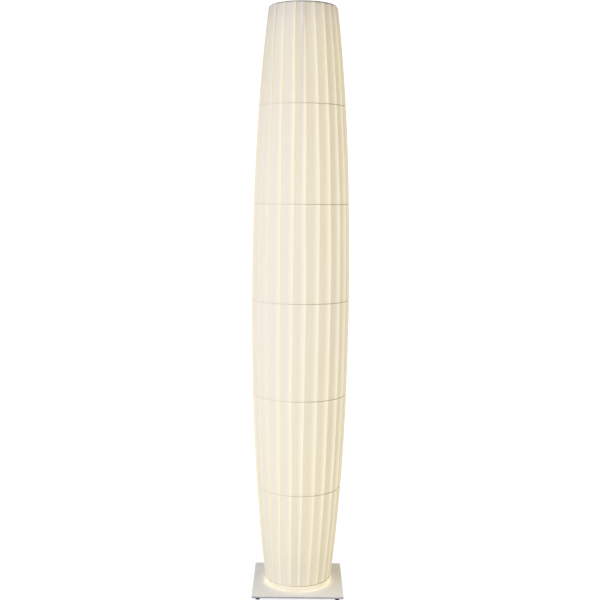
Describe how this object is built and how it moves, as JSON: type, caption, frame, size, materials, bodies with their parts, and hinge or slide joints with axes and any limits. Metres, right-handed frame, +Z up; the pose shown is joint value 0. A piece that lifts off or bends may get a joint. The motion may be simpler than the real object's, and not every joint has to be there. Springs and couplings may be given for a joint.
{
  "type": "floor lamp",
  "caption": "Tall column floor lamp: a knife-pleated barrel shade on a wire hoop frame over a square steel plate, lit from inside by linear lamps beside a mast.",
  "frame": {"origin": "on the floor, below the centre of the base plate", "axes": "+Z up along the mast, -Y towards the viewer of the picture, +X to the viewer's right"},
  "size_m": [0.32, 0.32, 1.9163],
  "materials": {
    "plate_paint": "satin",
    "zinc_steel": "satin",
    "mast_paint": "satin",
    "wire_steel": "satin",
    "nut_chrome": "polished",
    "black_rubber": "matte",
    "white_plastic": "matte",
    "block_plastic": "matte",
    "contact_brass": "satin",
    "lead_sheath": "matte",
    "opal_glass": "gloss",
    "board_aluminium": "satin",
    "cap_aluminium": "satin",
    "pleated_cloth": "matte"
  },
  "bodies": {
    "stand": {"base_plate": "plate_paint", "rubber_feet": "black_rubber", "foot_screws": "zinc_steel", "mast_flange": "zinc_steel", "flange_screws": "zinc_steel", "lower_mast": "mast_paint", "mast_coupler": "zinc_steel", "upper_mast": "mast_paint", "mast_head": "zinc_steel", "set_screws": "zinc_steel", "cable_grommet": "black_rubber", "terminal_box": "white_plastic", "terminal_box_lid": "white_plastic", "box_screws": "zinc_steel", "terminal_block": "block_plastic", "earth_screw": "contact_brass", "wiring_loom": "lead_sheath", "centring_star": "wire_steel", "star_bumpers": "black_rubber", "lower_bracket": "zinc_steel", "upper_bracket": "zinc_steel", "lower_holder_a": "white_plastic", "lower_holder_b": "white_plastic", "upper_holder_a": "white_plastic", "upper_holder_b": "white_plastic", "holder_screws": "zinc_steel"},
    "tube_a": {"tube_a_glass": "opal_glass", "tube_a_led_board": "board_aluminium", "tube_a_caps": "cap_aluminium", "tube_a_pins": "contact_brass", "tube_a_rotors": "white_plastic"},
    "tube_b": {"tube_b_glass": "opal_glass", "tube_b_led_board": "board_aluminium", "tube_b_caps": "cap_aluminium", "tube_b_pins": "contact_brass", "tube_b_rotors": "white_plastic"},
    "shade": {"top_ring": "wire_steel", "hoop_5": "wire_steel", "hoop_4": "wire_steel", "hoop_3": "wire_steel", "hoop_2": "wire_steel", "hoop_1": "wire_steel", "bottom_ring": "wire_steel", "frame_ribs": "wire_steel", "top_spider": "wire_steel", "spider_washer": "zinc_steel", "pleated_cover": "pleated_cloth"},
    "finial": {"finial_nut": "nut_chrome"}
  },
  "joints": [
    {"name": "shade_lift", "type": "slide", "parent": "stand", "child": "shade", "axis": [0, 0, 1], "range_m": [0, 1.9]},
    {"name": "finial_turn", "type": "hinge", "parent": "shade", "child": "finial", "pos_m": [0, 0, 1.8986], "axis": [0, 0, 1], "continuous": true},
    {"name": "tube_a_twist", "type": "hinge", "parent": "stand", "child": "tube_a", "pos_m": [0.045, 0, 0.2], "axis": [0, 0, 1], "range_deg": [0, 90]},
    {"name": "tube_b_twist", "type": "hinge", "parent": "stand", "child": "tube_b", "pos_m": [-0.045, 0, 0.2], "axis": [0, 0, 1], "range_deg": [0, 90]}
  ]
}
